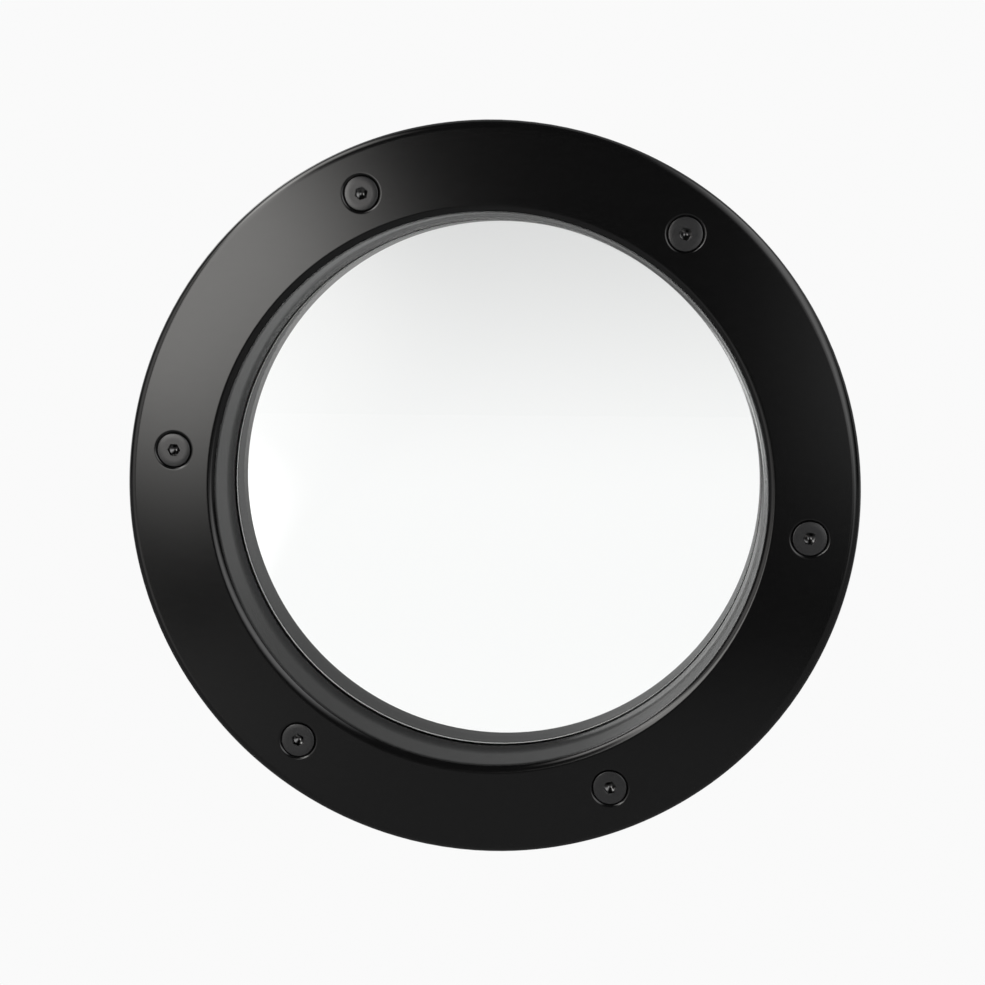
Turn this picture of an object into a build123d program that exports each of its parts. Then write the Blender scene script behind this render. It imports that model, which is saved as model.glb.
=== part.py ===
# Porthole window for a door leaf, in millimetres.
# Two pressed steel rings clamp a round pane between the ends of their collars and grip the door leaf
# between their flanges. Six countersunk screws through the front flange pull on sleeves welded inside
# the rear flange.
# The axis of the window is Y, the front faces -Y and +Z is up.
# The origin is on the axis, in the middle of the door leaf.
import os
from math import cos, radians, sin, tan

from build123d import *

os.makedirs("parts", exist_ok=True)

# Driving dimensions of the window
outer_diameter = 260.0
flange_width = 32.0  # from the rim to the sharp corner of the opening
door_thickness = 38.0
flange_height = 4.5  # face of a flange above the door
sheet = 1.5  # steel of both rings

# Bends and edges of the pressed rings
rim_bend = 1.5  # inside radius of the rolled rim
rim_gap = 0.4  # the rim stays this far off the door, so that the seal bears
collar_bend = 1.4  # inside radius between flange and collar
sheet_edge_round = 0.3  # broken edges of the cut sheet

# Front collar: a slight taper, then a neck that turns in towards the pane
front_collar_depth = 22.2  # face of the flange to the end of the collar
collar_taper_angle = 1.5
neck_length = 4.0
neck_inset = 1.3
neck_bend = 15.0

# Rear collar: straight
throat_step = 0.2  # on the radius, narrower than the end of the front collar

# Glazing
pane_thickness = 4.0
pane_bite = 2.4  # the pane reaches this far past the throat, on the radius
pane_arris = 0.4
front_seal_thickness = 1.5
front_seal_setback = 0.1
rear_tape_thickness = 1.0
rear_tape_setback = 0.1

# Screws, M6 countersunk with a hexagon socket
screw_count = 6
first_screw_angle = 52.8  # from +X towards +Z
bolt_offset = 0.4  # the bolt circle lies this far inside the middle of the flange
thread_diameter = 6.0
screw_length = 30.0
head_diameter = 11.8
head_cone_angle = 90.0
head_edge = 0.8  # straight edge above the cone
head_round = 0.2
head_sink = 0.1  # top of the head below the face of the flange
tip_chamfer = 0.8
socket_width = 4.0  # across flats
socket_depth = 2.3
socket_point_angle = 120.0
socket_turn_angles = (14.0, 41.0, 3.0, 27.0, 49.0, 8.0)  # each socket stops where it was tightened

# Dimples that seat the screw heads
dimple_lip = 0.8  # radius of the edge between the face of the flange and the cone
dimple_hole_clearance = 0.3

# Threaded sleeves
sleeve_diameter = 10.0
sleeve_length = 32.5
sleeve_bore_depth = 25.0
sleeve_chamfer = 0.6
thread_clearance = 0.05

# Flange seals
seal_share = 0.68  # part of the room between the sleeves and the rim that a seal fills
seal_rim_clearance = 0.5
seal_round = 0.5

# Radii that follow
outer_radius = outer_diameter / 2
opening_radius = outer_radius - flange_width
neck_start_depth = front_collar_depth - neck_length
neck_start_radius = opening_radius - neck_start_depth * tan(radians(collar_taper_angle))
throat_radius = neck_start_radius - neck_inset
rear_collar_radius = throat_radius - throat_step
pane_radius = throat_radius + pane_bite
bolt_circle_radius = (outer_radius + opening_radius) / 2 - bolt_offset
thread_radius = thread_diameter / 2
head_radius = head_diameter / 2
sleeve_radius = sleeve_diameter / 2
seal_outer_radius = outer_radius - sheet - rim_bend - seal_rim_clearance
seal_room = seal_outer_radius - bolt_circle_radius - sleeve_radius
seal_inner_radius = seal_outer_radius - seal_share * seal_room

# Planes along the axis that follow
front_seat = -door_thickness / 2
rear_seat = door_thickness / 2
front_face = front_seat - flange_height
rear_face = rear_seat + flange_height
front_collar_end = front_face + front_collar_depth
pane_front = front_collar_end + front_seal_thickness
pane_rear = pane_front + pane_thickness
rear_collar_end = pane_rear + rear_tape_thickness

# Where the screws stand, one place for each, with its socket turned
screw_angles = [radians(first_screw_angle + 360 * step / screw_count) for step in range(screw_count)]
screw_axes = [(bolt_circle_radius * cos(a), 0, bolt_circle_radius * sin(a)) for a in screw_angles]
screw_places = [Location(axis, (0, turn, 0)) for axis, turn in zip(screw_axes, socket_turn_angles)]

# The cone that the head and its dimple share
cone_slope = tan(radians(head_cone_angle / 2))  # radius gained for each unit of depth
head_top = front_face + head_sink
cone_top = head_top + head_edge
cone_mouth_radius = head_radius + (cone_top - front_face) * cone_slope
dimple_outer_radius = cone_mouth_radius + dimple_lip * tan(radians(90 - head_cone_angle / 2) / 2)
dimple_hole_radius = thread_radius + dimple_hole_clearance
dimple_hole_depth = (cone_mouth_radius - dimple_hole_radius) / cone_slope


# One dimple, standing on the Y axis: the sheet turns over a lip into the cone under the screw head
with BuildPart() as dimple:
    with BuildSketch(Plane.XY):
        with BuildLine():
            FilletPolyline(
                (dimple_outer_radius + sheet, front_face),
                (cone_mouth_radius, front_face),
                (dimple_hole_radius, front_face + dimple_hole_depth),
                radius=[dimple_lip],
            )
            offset(amount=sheet, side=Side.RIGHT)
        make_face()
    revolve(axis=Axis.Y)

# Front ring: rolled rim, flat flange, tapered collar with its necked end trimmed flat on the seal
neck_angle_slope = neck_inset / neck_length
with BuildPart() as front_ring:
    with BuildSketch(Plane.XY):
        with BuildLine():
            FilletPolyline(
                (outer_radius, front_seat - rim_gap),
                (outer_radius, front_face),
                (opening_radius, front_face),
                (neck_start_radius, front_face + neck_start_depth),
                (throat_radius - sheet * neck_angle_slope, front_collar_end + sheet),
                radius=[rim_bend + sheet, collar_bend + sheet, neck_bend],
            )
            offset(amount=sheet, side=Side.RIGHT)
        make_face()
        with Locations((throat_radius, front_collar_end)):
            Rectangle(flange_width, flange_width, align=(Align.CENTER, Align.MIN), mode=Mode.SUBTRACT)
    revolve(axis=Axis.Y)
    with Locations(*[Plane.XZ.offset(-front_face).location * Location((x, z, 0)) for x, _, z in screw_axes]):
        Hole(dimple_outer_radius + sheet, depth=flange_height)
    with Locations(*screw_axes):
        add(dimple.part)
front_ring.part.label = "front_ring"
export_step(front_ring.part, "parts/front_ring.step")

# Rear ring: rolled rim, flat flange without holes, straight collar up to the glazing tape
with BuildPart() as rear_ring:
    with BuildSketch(Plane.XY):
        with BuildLine():
            FilletPolyline(
                (outer_radius, rear_seat + rim_gap),
                (outer_radius, rear_face),
                (rear_collar_radius, rear_face),
                (rear_collar_radius, rear_collar_end),
                radius=[rim_bend + sheet, collar_bend + sheet],
            )
            offset(amount=sheet, side=Side.LEFT)
        make_face()
    revolve(axis=Axis.Y)
    fillet(rear_ring.edges().group_by(Axis.Y)[0], sheet_edge_round)
rear_ring.part.label = "rear_ring"
export_step(rear_ring.part, "parts/rear_ring.step")

# Pane with ground edges
with BuildPart() as glass_pane:
    with BuildSketch(Plane.XZ.offset(-pane_front)):
        Circle(pane_radius)
    extrude(amount=-pane_thickness)
    chamfer(glass_pane.edges().filter_by(GeomType.CIRCLE), pane_arris)
glass_pane.part.label = "glass_pane"
export_step(glass_pane.part, "parts/glass_pane.step")

# Rubber ring between the front collar and the pane
with BuildPart() as front_glazing_seal:
    with BuildSketch(Plane.XZ.offset(-front_collar_end)):
        Circle(pane_radius)
        Circle(throat_radius + front_seal_setback, mode=Mode.SUBTRACT)
    extrude(amount=-front_seal_thickness)
front_glazing_seal.part.label = "front_glazing_seal"
export_step(front_glazing_seal.part, "parts/front_glazing_seal.step")

# Glazing tape between the pane and the rear collar
with BuildPart() as rear_glazing_tape:
    with BuildSketch(Plane.XZ.offset(-pane_rear)):
        Circle(pane_radius)
        Circle(rear_collar_radius + rear_tape_setback, mode=Mode.SUBTRACT)
    extrude(amount=-rear_tape_thickness)
rear_glazing_tape.part.label = "rear_glazing_tape"
export_step(rear_glazing_tape.part, "parts/rear_glazing_tape.step")

# Flat rubber seals under the two flanges, with rounded corners
for name, base, depth in (
    ("front_flange_seal", front_face + sheet, flange_height - sheet),
    ("rear_flange_seal", rear_seat, flange_height - sheet),
):
    with BuildPart() as flange_seal:
        with BuildSketch(Plane.XZ.offset(-base)):
            Circle(seal_outer_radius)
            Circle(seal_inner_radius, mode=Mode.SUBTRACT)
        extrude(amount=-depth)
        fillet(flange_seal.edges().filter_by(GeomType.CIRCLE), seal_round)
    flange_seal.part.label = name
    export_step(flange_seal.part, f"parts/{name}.step")

# One screw, standing on the Y axis: turned body, then the socket with its drill point
head_bottom = cone_top + (head_radius - thread_radius) / cone_slope
screw_end = head_top + screw_length
socket_bottom = head_top + socket_depth
socket_radius = socket_width / 2
socket_point = socket_bottom + socket_radius / tan(radians(socket_point_angle / 2))
with BuildPart() as screw:
    with BuildSketch(Plane.XY):
        with BuildLine():
            Polyline(
                (0, head_top),
                (head_radius - head_round, head_top),
                (head_radius, head_top + head_round),
                (head_radius, cone_top),
                (thread_radius, head_bottom),
                (thread_radius, screw_end - tip_chamfer),
                (thread_radius - tip_chamfer, screw_end),
                (0, screw_end),
                close=True,
            )
        make_face()
    revolve(axis=Axis.Y)
    with BuildSketch(Plane.XZ.offset(-head_top)):
        RegularPolygon(radius=socket_radius, side_count=6, major_radius=False)
    extrude(amount=-socket_depth, mode=Mode.SUBTRACT)
    with BuildSketch(Plane.XY):
        with BuildLine():
            Polyline((0, socket_bottom), (socket_radius, socket_bottom), (0, socket_point), close=True)
        make_face()
    revolve(axis=Axis.Y, mode=Mode.SUBTRACT)

with BuildPart() as clamp_screws:
    with Locations(*screw_places):
        add(screw.part)
clamp_screws.part.label = "clamp_screws"
export_step(clamp_screws.part, "parts/clamp_screws.step")

# One sleeve, standing on the Y axis: blind bore open towards the front, welded to the rear flange
sleeve_base = rear_face - sheet
sleeve_end = sleeve_base - sleeve_length
bore_radius = thread_radius + thread_clearance
with BuildPart() as sleeve:
    with BuildSketch(Plane.XY):
        with BuildLine():
            Polyline(
                (0, sleeve_base),
                (sleeve_radius, sleeve_base),
                (sleeve_radius, sleeve_end + sleeve_chamfer),
                (sleeve_radius - sleeve_chamfer, sleeve_end),
                (bore_radius + sleeve_chamfer, sleeve_end),
                (bore_radius, sleeve_end + sleeve_chamfer),
                (bore_radius, sleeve_end + sleeve_bore_depth),
                (0, sleeve_end + sleeve_bore_depth),
                close=True,
            )
        make_face()
    revolve(axis=Axis.Y)

with BuildPart() as threaded_sleeves:
    with Locations(*screw_axes):
        add(sleeve.part)
threaded_sleeves.part.label = "threaded_sleeves"
export_step(threaded_sleeves.part, "parts/threaded_sleeves.step")
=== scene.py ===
from math import cos, pi, radians, sin, sqrt, tan

import bmesh
import bpy
import numpy as np
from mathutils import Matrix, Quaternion, Vector


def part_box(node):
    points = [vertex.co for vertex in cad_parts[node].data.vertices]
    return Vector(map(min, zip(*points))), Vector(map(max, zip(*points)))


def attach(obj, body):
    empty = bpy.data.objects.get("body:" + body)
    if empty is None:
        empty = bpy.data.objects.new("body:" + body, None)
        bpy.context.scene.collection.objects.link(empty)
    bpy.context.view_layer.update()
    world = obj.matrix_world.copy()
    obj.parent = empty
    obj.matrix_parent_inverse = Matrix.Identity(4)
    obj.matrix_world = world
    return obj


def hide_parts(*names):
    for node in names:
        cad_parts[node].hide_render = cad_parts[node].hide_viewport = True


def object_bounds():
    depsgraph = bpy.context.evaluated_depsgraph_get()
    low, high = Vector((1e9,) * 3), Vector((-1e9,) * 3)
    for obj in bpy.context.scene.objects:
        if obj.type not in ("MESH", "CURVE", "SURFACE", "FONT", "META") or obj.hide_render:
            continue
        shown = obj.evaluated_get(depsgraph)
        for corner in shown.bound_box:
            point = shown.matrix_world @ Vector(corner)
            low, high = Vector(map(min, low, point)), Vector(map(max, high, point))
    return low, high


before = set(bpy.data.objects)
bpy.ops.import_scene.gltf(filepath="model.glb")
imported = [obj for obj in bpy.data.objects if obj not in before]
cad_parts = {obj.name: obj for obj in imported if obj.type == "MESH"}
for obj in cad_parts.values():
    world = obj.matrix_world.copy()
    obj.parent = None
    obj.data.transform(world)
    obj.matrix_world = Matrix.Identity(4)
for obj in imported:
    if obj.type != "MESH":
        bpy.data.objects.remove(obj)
cadLow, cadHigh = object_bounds()
mm = 0.001
print("frame:", len(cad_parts), "nodes, box in mm", [round(s / mm, 2) for s in cadHigh - cadLow])


# Shapes

# the outer radius and the two end planes of a node that was turned about the Y axis
def turnedReach(node):
    low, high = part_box(node)
    return high.x, low.y, high.y


# corners of a section joined by straight runs; each rounded corner is the arc that touches both runs:
# its centre lies on the bisector, its points swing evenly from one touching point to the other,
# and a guard point stands a little way out on either run so that flat stretches shade flat
def roundedSection(corners, radii, closed=False, quarterSteps=10, fewestSteps=3, guard=0.25 * mm):
    corners = np.array(corners, float)
    before, after = np.roll(corners, 1, 0), np.roll(corners, -1, 0)
    points = []
    for place, (last, here, then, radius) in enumerate(zip(before, corners, after, radii)):
        isEnd = not closed and place in (0, len(corners) - 1)
        if isEnd or radius == 0:
            points.append(here[None])
            continue
        back = (last - here) / np.linalg.norm(last - here)
        onward = (then - here) / np.linalg.norm(then - here)
        half = np.arccos(np.clip(back @ onward, -1, 1)) / 2
        reach = radius / tan(half)
        bisector = (back + onward) / np.linalg.norm(back + onward)
        centre = here + bisector * radius / sin(half)
        start, stop = here + back * reach - centre, here + onward * reach - centre
        sweep = pi - 2 * half
        steps = max(fewestSteps, int(quarterSteps * sweep / (pi / 2) + 0.5))
        share = np.linspace(0, 1, steps + 1)[:, None]
        arc = centre + (np.sin((1 - share) * sweep) * start + np.sin(share * sweep) * stop) / sin(sweep)
        room = min(guard, radius)
        points += [arc[:1] + back * room, arc, arc[-1:] + onward * room]
    return np.concatenate(points)


# a section point at radius r and depth y, turned by the angle a, lands at (r cos a, y, r sin a)
def turnedGrid(section, angles):
    radius, depth = section[:, :1], section[:, 1:]
    depths = np.broadcast_to(depth, (len(section), len(angles)))
    return np.stack([radius * np.cos(angles), depths, radius * np.sin(angles)], -1)


# a grid about its own axis is set out to a radius along X, then swung round the window's axis
def setOut(grid, outTo, swing):
    x, y, z = grid[..., 0] + outTo, grid[..., 1], grid[..., 2]
    return np.stack([x * cos(swing) - z * sin(swing), y, x * sin(swing) + z * cos(swing)], -1)


# each cell of a grid joins four neighbours; columns close on themselves, rows only in a closed section
def gridFaces(rows, columns, closedRows):
    row = np.arange(rows if closedRows else rows - 1)[:, None]
    column = np.arange(columns)[None, :]
    here, below = row * columns, (row + 1) % rows * columns
    beside = (column + 1) % columns
    return np.stack([here + column, here + beside, below + beside, below + column], -1).reshape(-1, 4)


# all grids of a piece in one mesh: equal points are merged, so that seams and poles close,
# and faces are turned outwards
def makePiece(name, grids, node, finish, closedRows=False, creaseDegrees=32, tiny=1e-6):
    points, faces, count = [], [], 0
    for grid in grids:
        rows, columns = grid.shape[:2]
        points.append(grid.reshape(-1, 3))
        faces.append(gridFaces(rows, columns, closedRows) + count)
        count += rows * columns
    mesh = bpy.data.meshes.new(name)
    mesh.from_pydata(np.concatenate(points).tolist(), [], np.concatenate(faces).tolist())
    work = bmesh.new()
    work.from_mesh(mesh)
    bmesh.ops.remove_doubles(work, verts=work.verts, dist=tiny)
    bmesh.ops.dissolve_degenerate(work, edges=work.edges, dist=tiny / 10)
    bmesh.ops.recalc_face_normals(work, faces=work.faces)
    openEdges = sum(1 for edge in work.edges if len(edge.link_faces) != 2)
    work.to_mesh(mesh)
    work.free()
    mesh.polygons.foreach_set("use_smooth", np.ones(len(mesh.polygons), bool))
    mesh.set_sharp_from_angle(angle=radians(creaseDegrees))
    mesh.materials.append(finish)
    piece = bpy.data.objects.new(name, mesh)
    bpy.context.scene.collection.objects.link(piece)
    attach(piece, "root")
    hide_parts(node)
    print("piece:", name, len(mesh.polygons), "faces,", openEdges, "open edges")


# Finishes

# a socket takes a plain value, or the output of another node
def feed(tree, socket, source):
    if isinstance(source, bpy.types.NodeSocket):
        tree.links.new(source, socket)
    else:
        socket.default_value = source


# a node of the given kind, its sockets fed by name or by number
def addNode(tree, kind, inputs=None, **settings):
    node = tree.nodes.new(kind)
    for key, value in settings.items():
        setattr(node, key, value)
    for key, source in (inputs or {}).items():
        feed(tree, node.inputs[key], source)
    return node


# one operation, such as a product or a comparison, on its terms in order
def reckon(tree, operation, *terms):
    return addNode(tree, "ShaderNodeMath", dict(enumerate(terms)), operation=operation).outputs[0]


# a factor from 0 to 1 leads from the first to the second, in numbers or in colours
def blend(tree, factor, first, second, kind="Float"):
    dataType = {"Float": "FLOAT", "Color": "RGBA"}[kind]
    node = addNode(tree, "ShaderNodeMix", {"Factor": factor}, data_type=dataType)
    sockets = {socket.identifier: socket for socket in (*node.inputs, *node.outputs)}
    feed(tree, sockets["A_" + kind], first)
    feed(tree, sockets["B_" + kind], second)
    return sockets["Result_" + kind]


# as a value goes from start to stop, the result goes from low to high: smoothly, or in a straight line
def ramp(tree, value, start, stop, low=0.0, high=1.0, way="SMOOTHSTEP"):
    node = addNode(tree, "ShaderNodeMapRange", {
        "Value": value, "From Min": start, "From Max": stop, "To Min": low, "To Max": high},
        interpolation_type=way)
    return node.outputs["Result"]


# the distance from the origin, counted only along the axes that the mask keeps
def distanceAlong(tree, place, mask):
    kept = addNode(tree, "ShaderNodeVectorMath", {0: place, 1: mask}, operation="MULTIPLY")
    far = addNode(tree, "ShaderNodeVectorMath", {0: kept.outputs["Vector"]}, operation="LENGTH")
    return far.outputs["Value"]


# an empty material, its nodes, and the coordinates of the piece that wears it
def emptyFinish(name):
    finish = bpy.data.materials.new(name)
    finish.use_nodes = True
    tree = finish.node_tree
    tree.nodes.clear()
    return finish, tree, addNode(tree, "ShaderNodeTexCoord").outputs["Object"]


# the material shows what this shader gives
def show(tree, shader):
    addNode(tree, "ShaderNodeOutputMaterial", {"Surface": shader.outputs[0]})


# a material of one main shader, with some of its sockets set
def startFinish(name, values):
    finish, tree, place = emptyFinish(name)
    shader = addNode(tree, "ShaderNodeBsdfPrincipled", values)
    show(tree, shader)
    return finish, tree, shader, place


# noise over the piece, stretched by a scale for each axis, leads tone and gloss from one end to the other
# and stands off the surface by a real height
def grainLook(tree, shader, place, size):
    stretched = addNode(tree, "ShaderNodeMapping", {"Vector": place, "Scale": size["grain"]})
    noise = addNode(tree, "ShaderNodeTexNoise", {
        "Vector": stretched.outputs["Vector"], "Scale": 1.0, "Detail": size["detail"]})
    grain = noise.outputs["Fac"]
    bump = addNode(tree, "ShaderNodeBump", {
        "Height": grain, "Distance": size["grainHeight"], "Strength": 1.0})
    feed(tree, shader.inputs["Normal"], bump.outputs["Normal"])
    tone = blend(tree, grain, (*size["dark"], 1), (*size["light"], 1), "Color")
    gloss = ramp(tree, grain, 0.0, 1.0, *size["gloss"], way="LINEAR")
    return tone, gloss


# a finish whose tone and gloss are those of its grain
def makeGrained(name, size, values):
    finish, tree, shader, place = startFinish(name, values)
    tone, gloss = grainLook(tree, shader, place, size)
    feed(tree, shader.inputs["Base Color"], tone)
    feed(tree, shader.inputs["Roughness"], gloss)
    return finish


blackCoating = {
    "dark": (0.0024, 0.0024, 0.0025), "light": (0.0038, 0.0038, 0.0039),
    "gloss": (0.10, 0.14),  # lowest and highest roughness
    "ior": 1.6,
    "grain": (160, 160, 1900), "detail": 3,  # features per metre along each axis: short level streaks
    "grainHeight": 0.0004 * mm,
}
coating = makeGrained("satinBlackCoating", blackCoating, {"IOR": blackCoating["ior"]})

blackRubber = {
    "dark": (0.005, 0.005, 0.005), "light": (0.011, 0.011, 0.011),
    "gloss": (0.45, 0.6), "shine": 0.2,
    "grain": (2500, 2500, 2500), "detail": 4, "grainHeight": 0.02 * mm,  # fine and even
}
rubber = makeGrained("mattBlackRubber", blackRubber, {"Specular IOR Level": blackRubber["shine"]})

greyTape = {
    "dark": (0.72, 0.72, 0.71), "light": (0.85, 0.85, 0.84),
    "gloss": (0.7, 0.85), "shine": 0.3,
    "grain": (3200, 3200, 3200), "detail": 2, "grainHeight": 0.03 * mm,  # small closed cells
}
tape = makeGrained("lightGreyTape", greyTape, {"Specular IOR Level": greyTape["shine"]})

bareSteel = {
    "dark": (0.46, 0.455, 0.45), "light": (0.60, 0.595, 0.585),
    "gloss": (0.26, 0.40),
    "grain": (40, 2600, 40), "detail": 3, "grainHeight": 0.01 * mm,  # turning marks, fine along Y
}
steel = makeGrained("turnedSteel", bareSteel, {"Metallic": 1.0})
print("finishes: coating, rubber, tape and steel ready")


# Screw places, shared by the front ring, the screws and the sleeves

screwRing = {
    "count": 6, "firstDegrees": 52.8, "radius": 113.6 * mm,
    "headRadius": 5.9 * mm, "headEdge": 0.8 * mm,  # the edge stands straight above the cone
    "socketDegrees": (14, 41, 3, 27, 49, 8),  # each socket stops where it was tightened
}
screwTop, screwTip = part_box("clamp_screws")[0].y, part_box("clamp_screws")[1].y
screwSwings = [radians(screwRing["firstDegrees"] + 360 * k / screwRing["count"])
               for k in range(screwRing["count"])]
halfSector = pi / screwRing["count"]

ringMesh = {
    "arcCells": 48,  # cells along one sector's arc
    "sideCells": 10,  # cells across the flange
    "evenShare": 0.4,  # the rest of the spacing crowds towards the screw
    "flangeRows": (0, 0.03, 0.2, 0.5, 0.8, 1),  # shares of the way from a dimple to its sector's outline
}

# angles across a sector: the even share of t plus the rest times t cubed, for t from -1 to 1
sectorSteps = np.linspace(-1, 1, ringMesh["arcCells"] + 1)
crowding = (1 - ringMesh["evenShare"]) * sectorSteps ** 3
sectorAngles = halfSector * (ringMesh["evenShare"] * sectorSteps + crowding)
ringAngles = np.concatenate([swing + sectorAngles[:-1] for swing in screwSwings])


# Opening at the pane, shared by both collars, the seal and the tape

throat = {
    "paneBite": 2.4 * mm,  # the pane reaches this far past the front collar
    "step": 0.2 * mm,  # the rear collar is narrower
    "setback": 0.1 * mm,  # of the seal and the tape
}
throatRadius = turnedReach("glass_pane")[0] - throat["paneBite"]
rearRadius = throatRadius - throat["step"]


# Front ring

frontRing = {
    "sheet": 1.5 * mm, "flangeWidth": 32 * mm,
    "rimBend": 3.0 * mm, "rimGap": 0.4 * mm,  # outside radius, and rim to door
    "collarBend": 2.9 * mm, "taperDegrees": 1.5,
    "neckLength": 4.0 * mm, "neckBend": 15 * mm,
    "cutEdge": 0.2 * mm,  # rounding of cut edges
    "flatMargin": 0.4 * mm,  # flat strip kept beside each bend
    "dimpleLip": 0.8 * mm, "dimpleHole": 3.3 * mm, "lipSteps": 16,
}


# the flange of one screw: rows of a grid run from the dimple's circle to the sector's outline, and a
# point's radius and bearing about the window are each a share of the way between the two
def flangeSector(circle, innerRadius, outerRadius, depth):
    middle = screwRing["radius"]
    side = np.linspace(outerRadius, innerRadius, ringMesh["sideCells"] + 1)[:-1]
    arc, rest = sectorAngles[:-1], np.full(len(side), halfSector)
    bearing = np.concatenate([arc, rest, -arc, -rest])
    reach = np.concatenate([np.full(len(arc), outerRadius), side, np.full(len(arc), innerRadius),
                            innerRadius + outerRadius - side])
    headings = np.arctan2(middle * bearing, reach - middle)
    mouthX, mouthZ = middle + circle * np.cos(headings), circle * np.sin(headings)
    share = np.array(ringMesh["flangeRows"])[:, None]
    radius = (1 - share) * np.hypot(mouthX, mouthZ) + share * reach
    angle = (1 - share) * np.arctan2(mouthZ, mouthX) + share * bearing
    depths = np.full_like(radius, depth)
    grid = np.stack([radius * np.cos(angle) - middle, depths, radius * np.sin(angle)], -1)
    return grid, headings


# pressed ring: rim and collar are turned sections, the flange between them is six sectors,
# and each dimple is a section turned about its own screw
def makeFrontRing():
    size = frontRing
    outer, face, collarEnd = turnedReach("front_ring")
    sheet, edge = size["sheet"], size["cutEdge"]
    rimBend, collarBend, neckBend = size["rimBend"], size["collarBend"], size["neckBend"]
    opening = outer - size["flangeWidth"]
    hidden = face + sheet
    rimEnd = turnedReach("front_flange_seal")[2] - size["rimGap"]
    flatOut = outer - rimBend - size["flatMargin"]
    rim = roundedSection(
        [(flatOut, face), (outer, face), (outer, rimEnd), (outer - sheet, rimEnd), (outer - sheet, hidden),
         (flatOut, hidden)],
        [0, rimBend, edge, edge, rimBend - sheet, 0])
    taper = tan(radians(size["taperDegrees"]))
    neckDepth = collarEnd - size["neckLength"]
    neckRadius = opening - (neckDepth - face) * taper
    neckSlope = (neckRadius - throatRadius) / size["neckLength"]
    taperOut = sheet * sqrt(1 + taper ** 2)  # the sheet, measured along the radius
    neckOut = sheet * sqrt(1 + neckSlope ** 2)
    hiddenNeck = neckDepth + (neckOut - taperOut) / (neckSlope - taper)
    flatIn = opening + collarBend + size["flatMargin"]
    collar = roundedSection(
        [(flatIn, face), (opening, face), (neckRadius, neckDepth), (throatRadius, collarEnd),
         (throatRadius + neckOut, collarEnd),
         (neckRadius + taperOut - (hiddenNeck - neckDepth) * taper, hiddenNeck),
         (opening + taperOut - sheet * taper, hidden), (flatIn, hidden)],
        [0, collarBend, neckBend, edge, edge, neckBend + sheet, collarBend - sheet, 0])
    hole, lip = size["dimpleHole"], size["dimpleLip"]
    mouth = screwRing["headRadius"] + screwTop + screwRing["headEdge"] - face  # cone, carried up to the face
    holeDepth = face + mouth - hole
    hiddenMouth = mouth + sheet * tan(pi / 8)  # the sheet turns by an eighth of a circle
    circle = hiddenMouth + size["flatMargin"]
    aslant = sheet / sqrt(2)
    dimple = roundedSection(
        [(circle, face), (mouth, face), (hole, holeDepth), (hole + aslant, holeDepth + aslant),
         (hiddenMouth, hidden), (circle, hidden)],
        [0, lip, edge, edge, edge, 0], quarterSteps=size["lipSteps"])
    flange, headings = flangeSector(circle, flatIn, flatOut, face)
    lining = flange + np.array([0, sheet, 0])
    seat = turnedGrid(dimple, headings)
    grids = [turnedGrid(rim, ringAngles), turnedGrid(collar, ringAngles)]
    for swing in screwSwings:
        grids += [setOut(grid, screwRing["radius"], swing) for grid in (flange, lining, seat)]
    makePiece("frontRing", grids, "front_ring", coating)


makeFrontRing()


# Rear ring

rearRing = {
    "sheet": 1.5 * mm, "rimBend": 3.0 * mm, "rimGap": 0.4 * mm, "collarBend": 2.9 * mm,
    "cutEdge": 0.2 * mm, "collarEdge": 0.3 * mm,
}


# pressed ring without holes: one closed section turned about the axis
def makeRearRing():
    size = rearRing
    outer, collarEnd, face = turnedReach("rear_ring")
    sheet, collar = size["sheet"], rearRadius
    rimEnd, hidden = turnedReach("rear_flange_seal")[1] + size["rimGap"], face - sheet
    section = roundedSection(
        [(outer, rimEnd), (outer, face), (collar, face), (collar, collarEnd), (collar + sheet, collarEnd),
         (collar + sheet, hidden), (outer - sheet, hidden), (outer - sheet, rimEnd)],
        [size["cutEdge"], size["rimBend"], size["collarBend"], size["collarEdge"], size["collarEdge"],
         size["collarBend"] - sheet, size["rimBend"] - sheet, size["cutEdge"]], closed=True)
    grid = turnedGrid(section, ringAngles)
    makePiece("rearRing", [grid], "rear_ring", coating, closedRows=True)


makeRearRing()


# Seals and tape

flangeSealWidth = 5.372 * mm
flangeSealInner = turnedReach("front_flange_seal")[0] - flangeSealWidth
sealCornerSteps = 5  # cells in a quarter turn
sealRings = {
    "front_glazing_seal": {
        "name": "frontGlazingSeal", "inner": throatRadius + throat["setback"], "round": 0.2 * mm,
        "finish": rubber, "slot": "black_rubber"},
    "rear_glazing_tape": {
        "name": "rearGlazingTape", "inner": rearRadius + throat["setback"], "round": 0.15 * mm,
        "finish": tape, "slot": "grey_tape"},
    "front_flange_seal": {
        "name": "frontFlangeSeal", "inner": flangeSealInner, "round": 0.5 * mm,
        "finish": rubber, "slot": "black_rubber"},
    "rear_flange_seal": {
        "name": "rearFlangeSeal", "inner": flangeSealInner, "round": 0.5 * mm,
        "finish": rubber, "slot": "black_rubber"},
}


# a rectangle from the inner to the outer radius and from end to end, with its corners rounded,
# turned about the axis
def makeSealRing(node):
    size = sealRings[node]
    outer, near, far = turnedReach(node)
    corners = [(outer, near), (size["inner"], near), (size["inner"], far), (outer, far)]
    section = roundedSection(corners, [size["round"]] * len(corners), True, sealCornerSteps)
    grid = turnedGrid(section, ringAngles)
    makePiece(size["name"], [grid], node, size["finish"], closedRows=True)


for node in sealRings:
    makeSealRing(node)


# Pane

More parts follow.
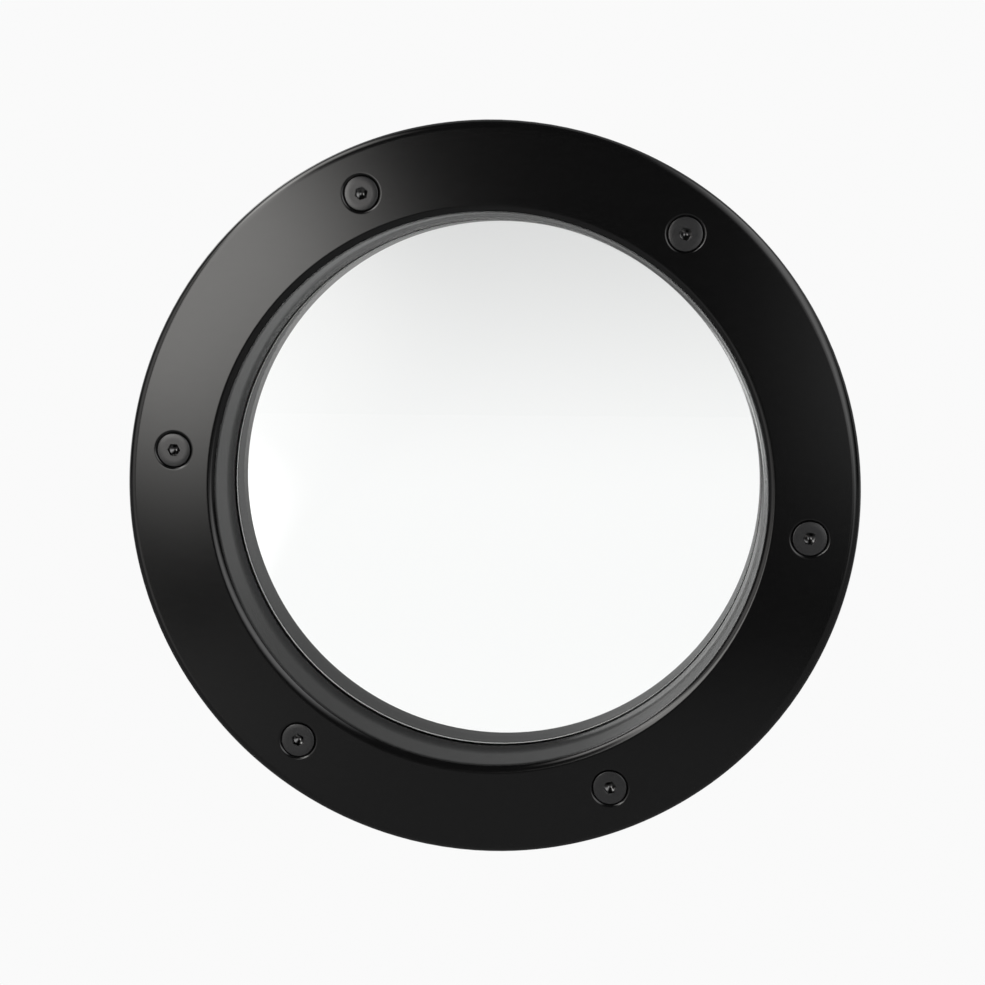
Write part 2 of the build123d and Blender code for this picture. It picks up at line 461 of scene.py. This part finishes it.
glassPane = {
    "arris": 0.4 * mm,
    "flatFrom": 1.2 * mm,  # a circle of points this far inside the edge keeps the faces flat
}
clearGlass = {
    "colour": (0.985, 0.995, 0.99, 1), "ior": 1.45, "shine": 0.2,
    "polished": 0.0, "ground": 0.55,  # roughness of the faces and of the edge
    "edgeStart": 0.45 * mm, "edgeFull": 0.405 * mm,  # where the ground edge begins, in from the radius
}


# clear pane: polished faces, going over to a ground edge as the distance from the axis nears the radius
def makeClearGlass(paneRadius):
    size = clearGlass
    finish, tree, shader, place = startFinish("clearPane", {
        "Base Color": size["colour"], "IOR": size["ior"], "Transmission Weight": 1.0,
        "Specular IOR Level": size["shine"]})
    fromAxis = distanceAlong(tree, place, (1, 0, 1))
    gloss = ramp(tree, fromAxis, paneRadius - size["edgeStart"], paneRadius - size["edgeFull"],
                 size["polished"], size["ground"], "LINEAR")
    feed(tree, shader.inputs["Roughness"], gloss)
    return finish


# a disc with its edges taken off: half a section, from the axis round the edge and back,
# turned about the axis
def makeGlassPane():
    radius, front, rear = turnedReach("glass_pane")
    arris, flat = glassPane["arris"], radius - glassPane["flatFrom"]
    section = np.array([
        (0, front), (radius / 2, front), (flat, front), (radius - arris, front), (radius, front + arris),
        (radius, rear - arris), (radius - arris, rear), (flat, rear), (radius / 2, rear), (0, rear)])
    grid = turnedGrid(section, ringAngles)
    makePiece("glassPane", [grid], "glass_pane", makeClearGlass(radius))


makeGlassPane()


# Screws

clampScrew = {
    "headRound": 0.2 * mm, "headSteps": 4,
    "threadRadius": 3.0 * mm, "pitch": 1.0 * mm, "threadDepth": 0.55 * mm, "tipChamfer": 0.8 * mm,
    "flankStretch": 1.25,  # above 1, it leaves flats on the crest and the root of the thread
    "socketHalf": 2.0 * mm, "socketDepth": 2.3 * mm, "socketPointDegrees": 120, "socketLead": 0.12 * mm,
    "aroundCells": 60, "ringsPerPitch": 6, "creaseDegrees": 28,
}
blackScrew = {
    "dark": (0.012, 0.012, 0.0125), "light": (0.022, 0.022, 0.023),
    "gloss": (0.20, 0.30), "ior": 1.7,
    "grain": (1500, 1500, 1500), "detail": 4, "grainHeight": 0.006 * mm,  # a fine mottle
    "worn": (0.13, 0.13, 0.13), "wornGloss": 0.16,  # steel rubbed bright in the sockets
    "wornStart": 0.12 * mm, "wornFull": 0.3 * mm, "wornEnd": 3.5 * mm,  # depths below the head
}


# blackened steel: between two depths below the head, where the sockets are, tone, metal and gloss go over
# to worn steel
def makeBlackScrew(headTop):
    size = blackScrew
    finish, tree, shader, place = startFinish("blackenedSteel", {"IOR": size["ior"]})
    tone, gloss = grainLook(tree, shader, place, size)
    depth = addNode(tree, "ShaderNodeSeparateXYZ", {0: place}).outputs["Y"]
    rise = ramp(tree, depth, headTop + size["wornStart"], headTop + size["wornFull"], way="LINEAR")
    above = reckon(tree, "LESS_THAN", depth, headTop + size["wornEnd"])
    worn = reckon(tree, "MULTIPLY", rise, above)
    feed(tree, shader.inputs["Base Color"], blend(tree, worn, tone, (*size["worn"], 1), "Color"))
    feed(tree, shader.inputs["Metallic"], worn)
    feed(tree, shader.inputs["Roughness"], blend(tree, worn, gloss, size["wornGloss"]))
    return finish


# rings from the point of the socket, up its walls, over the head, down the cone and along the thread to the
# tip: a ring is a circle, or a hexagon whose radius is the half width over the cosine of the angle from the
# nearest flat; the thread takes from the radius a share of its depth that rises and falls once for each
# pitch along a helix, and fades out over one pitch at either end
def screwGrid(socketTurn):
    size, headTop, tip = clampScrew, screwTop, screwTip
    angles = np.linspace(0, 2 * pi, size["aroundCells"], endpoint=False)
    hexagon = 1 / np.cos(angles % (pi / 3) - pi / 6)
    circle = np.ones_like(angles)
    half, head, thread = size["socketHalf"], screwRing["headRadius"], size["threadRadius"]
    floor = headTop + size["socketDepth"]
    point = floor + half / tan(radians(size["socketPointDegrees"] / 2))
    lead, soft, pitch = size["socketLead"], size["headRound"], size["pitch"]
    coneTop = headTop + screwRing["headEdge"]
    neck = coneTop + head - thread
    swing = np.linspace(0, pi / 2, size["headSteps"] + 1)
    rounded = [(head - soft + soft * sin(a), headTop + soft - soft * cos(a), circle) for a in swing]
    rings = [(0, point, circle), (half / 2, (point + floor) / 2, circle), (half, floor, circle),
             (half, floor, hexagon), (half, headTop + lead, hexagon), (half + lead, headTop, hexagon),
             ((half + head) / 2, headTop, circle), *rounded, (head, coneTop, circle), (thread, neck, circle)]
    body = np.array([radius * shape for radius, depth, shape in rings])
    depths = np.array([depth for radius, depth, shape in rings])
    threadStart, threadEnd = neck + pitch / 2, tip - size["tipChamfer"]
    ringCount = int((threadEnd - neck) / pitch * size["ringsPerPitch"])
    along = np.linspace(threadStart, threadEnd, ringCount)[:, None]
    phase = (along / pitch - angles / (2 * pi)) % 1
    wave = 1 - np.abs(2 * phase - 1)
    groove = np.clip(size["flankStretch"] * (wave - 0.5) + 0.5, 0, 1)
    fade = np.clip(np.minimum(along - threadStart, threadEnd - along) / pitch, 0, 1)
    shank = thread - size["threadDepth"] * groove * fade
    end = np.array([[thread - size["tipChamfer"]], [0]]) * circle
    radius = np.concatenate([body, shank, end])
    depth = np.concatenate([depths[:, None], along, [[tip], [tip]]]) * circle
    around = angles - socketTurn
    return np.stack([radius * np.cos(around), depth, radius * np.sin(around)], -1)


# six screws: each is turned back by its swing, so that its socket keeps its own turn, and set out on the ring
def makeClampScrews():
    grids = [setOut(screwGrid(radians(turn) + swing), screwRing["radius"], swing)
             for swing, turn in zip(screwSwings, screwRing["socketDegrees"])]
    makePiece("clampScrews", grids, "clamp_screws", makeBlackScrew(screwTop),
              creaseDegrees=clampScrew["creaseDegrees"])


makeClampScrews()


# Sleeves

threadedSleeve = {
    "radius": 5.0 * mm, "bore": 3.05 * mm, "boreDepth": 25 * mm, "chamfer": 0.6 * mm,
    "edge": 0.1 * mm, "edgeGuard": 0.1 * mm, "edgeSteps": 4,
    "aroundCells": 48,
}


# a blind sleeve: half a section, from the axis round the outside and down the bore, turned about each screw
def makeThreadedSleeves():
    size = threadedSleeve
    low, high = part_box("threaded_sleeves")
    radius, bore, chamfer, edge = size["radius"], size["bore"], size["chamfer"], size["edge"]
    mouth, base, boreEnd = low.y, high.y, low.y + size["boreDepth"]
    section = roundedSection(
        [(0, base), (radius, base), (radius, mouth + chamfer), (radius - chamfer, mouth),
         (bore + chamfer, mouth), (bore, mouth + chamfer), (bore, boreEnd), (0, boreEnd)],
        [0, edge, edge, edge, edge, edge, edge, 0],
        quarterSteps=size["edgeSteps"], guard=size["edgeGuard"])
    around = np.linspace(0, 2 * pi, size["aroundCells"], endpoint=False)
    sleeve = turnedGrid(section, around)
    grids = [setOut(sleeve, screwRing["radius"], swing) for swing in screwSwings]
    makePiece("threadedSleeves", grids, "threaded_sleeves", steel)


makeThreadedSleeves()


# Studio

studio = {
    "white": 0.955,  # of the background, as the camera sees it
    "backdropY": 1.6, "floorZ": -0.9, "reach": 12.0,
    # painted shade: between these heights the paper seen through the pane and in reflections grows darker
    # upwards, so that the upper part of the pane looks shaded
    "paintedShadeLow": -0.20, "paintedShadeHigh": 0.26,  # heights between which the paper behind the pane dims
    "throughHigh": 0.71, "throughLow": 1.02,  # paper seen through the pane, above and below
    "glossHigh": 0.29, "glossLow": 0.37,  # paper in reflections
    "fill": 0.8,  # paper as a light
    "roomGloss": 0.016, "roomFill": 0.28,
    "floorColour": (0.85, 0.85, 0.85, 1),
    "floorNear": 0.3, "floorFar": 2.0, "floorGlow": 0.7,  # the floor's own white share, rising to 1 far out
    "cardFar": -4.8, "cardFull": -3.2, "cardNear": 0.9,  # card over the floor in front, along Y
    "cardGlow": 0.17, "cardLift": 0.01,
    "halfBounce": 0.5,  # parts a ray without a reflection from one that has had any
}


# 1 for a ray that came straight through the pane, 0 for one that was reflected on its way
def straightThrough(tree, path):
    unreflected = reckon(tree, "LESS_THAN", path.outputs["Glossy Depth"], studio["halfBounce"])
    return reckon(tree, "MULTIPLY", path.outputs["Is Transmission Ray"], unreflected)


# how the paper or the room shows: plain white to the eye, its own value through the pane, another in
# reflections, and a fill to the rest; a ray reflected before it passed the pane counts as a reflection
def brightnessFor(tree, through, gloss, fill):
    path = addNode(tree, "ShaderNodeLightPath")
    value = blend(tree, path.outputs["Is Glossy Ray"], fill, gloss)
    value = blend(tree, straightThrough(tree, path), value, through)
    return blend(tree, path.outputs["Is Camera Ray"], value, studio["white"])


# a flat sheet through four corners, as a stage piece
def makeSheet(name, corners, finish):
    mesh = bpy.data.meshes.new(name)
    mesh.from_pydata(corners, [], [(0, 1, 2, 3)])
    mesh.materials.append(finish)
    sheet = bpy.data.objects.new(name, mesh)
    bpy.context.scene.collection.objects.link(sheet)
    return sheet


# four corners at one height: as wide as the studio, from one place along Y to another
def levelCorners(start, stop, height):
    reach = studio["reach"]
    return [(-reach, start, height), (reach, start, height), (reach, stop, height), (-reach, stop, height)]


# glowing paper: plain white to the eye; seen through the pane and in reflections its brightness falls
# smoothly with height, a painted shade that darkens the upper part of the pane
def makePaper():
    size = studio
    finish, tree, place = emptyFinish("studioPaper")
    height = addNode(tree, "ShaderNodeSeparateXYZ", {0: place}).outputs["Z"]
    low, high = size["paintedShadeLow"], size["paintedShadeHigh"]
    # painted shade: through the pane and in reflections the paper is darker towards the top
    through = ramp(tree, height, low, high, size["throughLow"], size["throughHigh"])
    gloss = ramp(tree, height, low, high, size["glossLow"], size["glossHigh"])
    value = brightnessFor(tree, through, gloss, size["fill"])
    show(tree, addNode(tree, "ShaderNodeEmission", {"Strength": value}))
    return finish


# pale floor: it takes shadow near the window, and what is seen of it goes over smoothly with the distance
# to the plain background
def makeFloorFinish():
    finish, tree, place = emptyFinish("paleFloor")
    away = distanceAlong(tree, place, (1, 1, 0))
    fade = ramp(tree, away, studio["floorNear"], studio["floorFar"], studio["floorGlow"])
    path = addNode(tree, "ShaderNodeLightPath")
    seen = reckon(tree, "ADD", path.outputs["Is Camera Ray"], straightThrough(tree, path))
    share = reckon(tree, "MULTIPLY", fade, seen)
    paint = addNode(tree, "ShaderNodeBsdfDiffuse", {"Color": studio["floorColour"]})
    glow = addNode(tree, "ShaderNodeEmission", {"Strength": studio["white"]})
    show(tree, addNode(tree, "ShaderNodeMixShader", {0: share, 1: paint.outputs[0], 2: glow.outputs[0]}))
    return finish


# a card that shows only in reflections and is clear through the pane: its glow rises smoothly
# from its far edge
def makeCardFinish():
    finish, tree, place = emptyFinish("paleCard")
    along = addNode(tree, "ShaderNodeSeparateXYZ", {0: place}).outputs["Y"]
    rise = ramp(tree, along, studio["cardFar"], studio["cardFull"], high=studio["cardGlow"])
    glow = addNode(tree, "ShaderNodeEmission", {"Strength": rise})
    clear = addNode(tree, "ShaderNodeBsdfTransparent")
    straight = straightThrough(tree, addNode(tree, "ShaderNodeLightPath"))
    show(tree, addNode(tree, "ShaderNodeMixShader", {0: straight, 1: glow.outputs[0], 2: clear.outputs[0]}))
    return finish


# paper behind, floor below and card in front are upright or level sheets; the room is plain white round them
def makeStudio():
    reach, back, down = studio["reach"], studio["backdropY"], studio["floorZ"]
    upright = [(-reach, back, down), (reach, back, down), (reach, back, reach), (-reach, back, reach)]
    makeSheet("backdrop", upright, makePaper())
    floor = makeSheet("floor", levelCorners(-reach, back, down), makeFloorFinish())
    floor.visible_glossy = False
    lifted = levelCorners(studio["cardFar"], studio["cardNear"], down + studio["cardLift"])
    card = makeSheet("frontCard", lifted, makeCardFinish())
    card.visible_camera = card.visible_diffuse = card.visible_transmission = card.visible_shadow = False
    world = bpy.data.worlds.new("studioRoom")
    bpy.context.scene.world = world
    world.use_nodes = True
    tree = world.node_tree
    tree.nodes.clear()
    value = brightnessFor(tree, studio["white"], studio["roomGloss"], studio["roomFill"])
    room = addNode(tree, "ShaderNodeBackground", {"Color": (1, 1, 1, 1), "Strength": value})
    addNode(tree, "ShaderNodeOutputWorld", {"Surface": room.outputs[0]})


makeStudio()


# Lamps

lampPlanes = {  # only the lamps behind the window shine through the pane
    "left": {"towards": (-0.608, -0.710, 0.355), "distance": 1.8, "rollDegrees": 45.3, "throughPane": False},
    "right": {"towards": (0.751, -0.501, 0.431), "distance": 1.8, "rollDegrees": -47, "throughPane": False},
    "front": {"towards": (0, -1, 0), "distance": 2.4, "rollDegrees": 0, "throughPane": False},
    "rear": {"towards": (-0.676, 0.737, 0), "distance": 1.63, "rollDegrees": 0, "throughPane": True},
    "rearLow": {"towards": (-0.47, 0.82, -0.32), "distance": 1.5, "rollDegrees": 40, "throughPane": True},
}
warmWhite, plainWhite = (1.0, 0.985, 0.96), (1.0, 1.0, 1.0)
lamps = {  # place and size in metres, across and along the plane; soft is the share of each that fades
    "keyBox": {
        "plane": "left", "place": (0.12, 0.055), "size": (0.71, 3.04), "soft": (0.37, 0.14),
        "brightness": 2.75, "colour": warmWhite},
    "crownBox": {
        "plane": "left", "place": (0.32, 1.49), "size": (1.7, 2.8), "soft": (0.4, 0.4),
        "brightness": 2.5, "colour": warmWhite},
    "leftGlow": {
        "plane": "left", "place": (-0.46, 0.0), "size": (2.2, 4.2), "soft": (0.5, 0.5),
        "brightness": 0.78, "colour": warmWhite},
    "sideBox": {
        "plane": "right", "place": (-0.08, 0.20), "size": (2.16, 4.4), "soft": (0.5, 0.21),
        "brightness": 1.45, "colour": plainWhite},
    "sideCrown": {
        "plane": "right", "place": (-0.54, 1.0), "size": (1.34, 2.0), "soft": (0.4, 0.4),
        "brightness": 2.2, "colour": plainWhite},
    "frontGlow": {
        "plane": "front", "place": (0.685, -0.036), "size": (1.2, 0.86), "soft": (0.5, 0.5),
        "brightness": 1.0, "colour": plainWhite},
    "rearBox": {
        "plane": "rear", "place": (0, 0.7), "size": (1.1, 2.0), "soft": (0.25, 0.15),
        "brightness": 1.1, "colour": plainWhite},
    "rearStrip": {
        "plane": "rearLow", "place": (0, 0), "size": (0.3, 1.1), "soft": (0.4, 0.3),
        "brightness": 1.6, "colour": plainWhite},
}
lampPower = 4  # watts for each square metre of a lamp that shows at brightness 1
lampMiddle = 0.5  # a lamp's own coordinates run from 0 to 1


# an area lamp on a plane that faces the window: the plane stands off along its direction and is rolled about
# it; the lamp's power is brightness times area times the power for one, and over the soft share of its width
# and height the brightness rises smoothly from nothing at the edge
def makeLamp(name):
    lamp = lamps[name]
    plane = lampPlanes[lamp["plane"]]
    light = bpy.data.lights.new(name, "AREA")
    light.shape = "RECTANGLE"
    light.size, light.size_y = lamp["size"]
    light.energy = lamp["brightness"] * lamp["size"][0] * lamp["size"][1] * lampPower
    light.color = lamp["colour"]
    light.use_nodes = True
    tree = light.node_tree
    tree.nodes.clear()
    place = addNode(tree, "ShaderNodeNewGeometry").outputs["Parametric"]
    across = addNode(tree, "ShaderNodeSeparateXYZ", {0: place}).outputs
    edges = []
    for axis, soft in zip("XY", lamp["soft"]):
        away = reckon(tree, "ABSOLUTE", reckon(tree, "SUBTRACT", across[axis], lampMiddle))
        edges.append(ramp(tree, away, lampMiddle, lampMiddle - soft))
    glow = addNode(tree, "ShaderNodeEmission", {"Strength": reckon(tree, "MULTIPLY", *edges)})
    addNode(tree, "ShaderNodeOutputLight", {"Surface": glow.outputs[0]})
    thing = bpy.data.objects.new(name, light)
    bpy.context.scene.collection.objects.link(thing)
    roll = Quaternion((0, 0, 1), radians(plane["rollDegrees"]))
    turn = Vector(plane["towards"]).to_track_quat("Z", "Y") @ roll
    thing.rotation_euler = turn.to_euler()
    thing.location = turn @ Vector((*lamp["place"], plane["distance"]))
    thing.visible_camera = False
    thing.visible_transmission = plane["throughPane"]


for name in lamps:
    makeLamp(name)
print("studio: paper, floor, card, room and", len(lamps), "lamps")


# Camera

viewpoint = {
    "distance": 0.6994,  # from the middle of the front face
    "azimuthDegrees": 6.70, "elevationDegrees": 6.64,
    "aim": (2.06 * mm, 0.46 * mm),  # across and up from that middle
    "lens": 72.644, "sensor": 36.0, "clip": (0.01, 100),
}


# the camera stands off the middle of the front face by the distance, along the azimuth and elevation
def makeCamera():
    face = cadLow.y
    a, e = radians(viewpoint["azimuthDegrees"]), radians(viewpoint["elevationDegrees"])
    back = Vector((sin(a) * cos(e), -cos(a) * cos(e), sin(e)))
    data = bpy.data.cameras.new("photoCamera")
    data.lens, data.sensor_width = viewpoint["lens"], viewpoint["sensor"]
    data.clip_start, data.clip_end = viewpoint["clip"]
    camera = bpy.data.objects.new("photoCamera", data)
    bpy.context.scene.collection.objects.link(camera)
    camera.location = Vector((0, face, 0)) + back * viewpoint["distance"]
    target = Vector((viewpoint["aim"][0], face, viewpoint["aim"][1]))
    camera.rotation_euler = (target - camera.location).to_track_quat("-Z", "Y").to_euler()
    bpy.context.scene.camera = camera
    print("camera:", viewpoint["distance"], "m off, lens", viewpoint["lens"], "mm")


makeCamera()
bpy.context.scene.view_settings.view_transform = "Standard"
